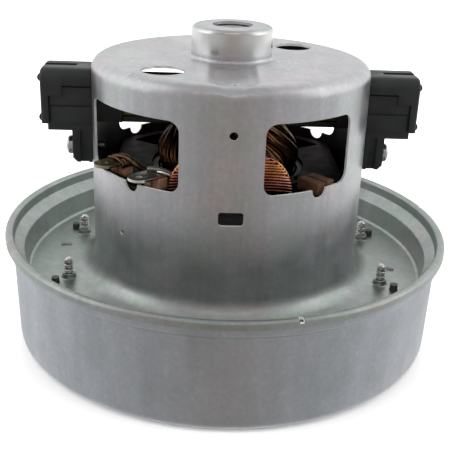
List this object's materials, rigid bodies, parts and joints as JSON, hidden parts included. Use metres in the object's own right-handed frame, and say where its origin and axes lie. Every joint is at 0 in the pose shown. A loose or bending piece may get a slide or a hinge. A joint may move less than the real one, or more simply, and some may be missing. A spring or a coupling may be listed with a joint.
{
  "type": "vacuum cleaner motor",
  "caption": "Vacuum cleaner motor: drawn steel can with rolled rim and bearing boss, side brush holders, wound field and armature, and a covered centrifugal fan.",
  "frame": {"origin": "bottom centre of the fan cover, on the motor's axis", "axes": "+Z along the motor's axis towards the bearing boss, X through the two brush holders, -Y towards the picture's viewer"},
  "size_m": [0.135, 0.135, 0.0942],
  "materials": {
    "can_steel": "satin zinc-plated drawn steel",
    "cover_steel": "satin zinc-plated drawn steel, blue-grey",
    "bracket_steel": "zinc-plated pressing",
    "black_plastic": "fine-grained moulding",
    "grey_plastic": "moulded",
    "brown_insulator": "moulded phenolic",
    "core_steel": "stacked laminations",
    "coil_copper": "enamelled wire, packed",
    "wire_copper": "enamelled wire",
    "bar_copper": "turned copper",
    "hub_resin": "moulded resin",
    "carbon": "pressed carbon",
    "tube_brass": "folded sheet",
    "tab_brass": "stamped, tarnished",
    "tab_tin": "tinned",
    "screw_zinc": "bright zinc",
    "bearing_steel": "ground",
    "shield_steel": "stamped",
    "shaft_steel": "ground",
    "spacer_steel": "turned",
    "spring_steel": "wire",
    "fan_aluminium": "stamped sheet"
  },
  "bodies": {
    "root": {"motor_can": "can_steel", "fan_cover": "cover_steel", "bearing_bracket": "bracket_steel", "diffuser": "grey_plastic", "flange_screws": "screw_zinc", "stator_core": "core_steel", "field_coil_front": "coil_copper", "field_coil_back": "coil_copper", "field_winding_front": "wire_copper", "field_winding_back": "wire_copper", "coil_insulator_upper": "brown_insulator", "coil_insulator_lower": "brown_insulator", "terminal_front": "tab_tin", "terminal_side": "tab_brass", "brush_holder_left": "black_plastic", "brush_holder_right": "black_plastic", "brush_tube_left": "tube_brass", "brush_tube_right": "tube_brass", "brush_terminal_left": "tab_brass", "brush_terminal_right": "tab_brass", "brush_spring_left": "spring_steel", "brush_spring_right": "spring_steel", "brush_holder_screws": "screw_zinc", "upper_bearing_outer_ring": "bearing_steel", "upper_bearing_shields": "shield_steel", "lower_bearing_outer_ring": "bearing_steel", "lower_bearing_shields": "shield_steel", "bearing_washer": "spring_steel"},
    "rotor": {"shaft": "shaft_steel", "armature_core": "core_steel", "armature_winding": "wire_copper", "commutator_hub": "hub_resin", "commutator_bars": "bar_copper", "shaft_sleeve": "hub_resin", "upper_spacer": "spacer_steel", "lower_spacer": "spacer_steel", "upper_bearing_inner_ring": "bearing_steel", "lower_bearing_inner_ring": "bearing_steel", "impeller_spacer": "spacer_steel", "impeller_back_plate": "fan_aluminium", "impeller_front_plate": "fan_aluminium", "impeller_blades": "fan_aluminium", "impeller_washer": "spacer_steel", "impeller_nut": "screw_zinc"},
    "brush_left": {"carbon_brush_left": "carbon"},
    "brush_right": {"carbon_brush_right": "carbon"}
  },
  "joints": [
    {"name": "rotor_spin", "type": "hinge", "parent": "root", "child": "rotor", "pos_m": [0, 0, 0.05], "axis": [0, 0, 1], "continuous": true},
    {"name": "brush_left_slide", "type": "slide", "parent": "root", "child": "brush_left", "axis": [-1, 0, 0], "range_m": [0, 0.006], "stiffness_N_per_m": 60, "springref_m": -0.05, "deforming": ["brush_spring_left"]},
    {"name": "brush_right_slide", "type": "slide", "parent": "root", "child": "brush_right", "axis": [1, 0, 0], "range_m": [0, 0.006], "stiffness_N_per_m": 60, "springref_m": -0.05, "deforming": ["brush_spring_right"]}
  ]
}
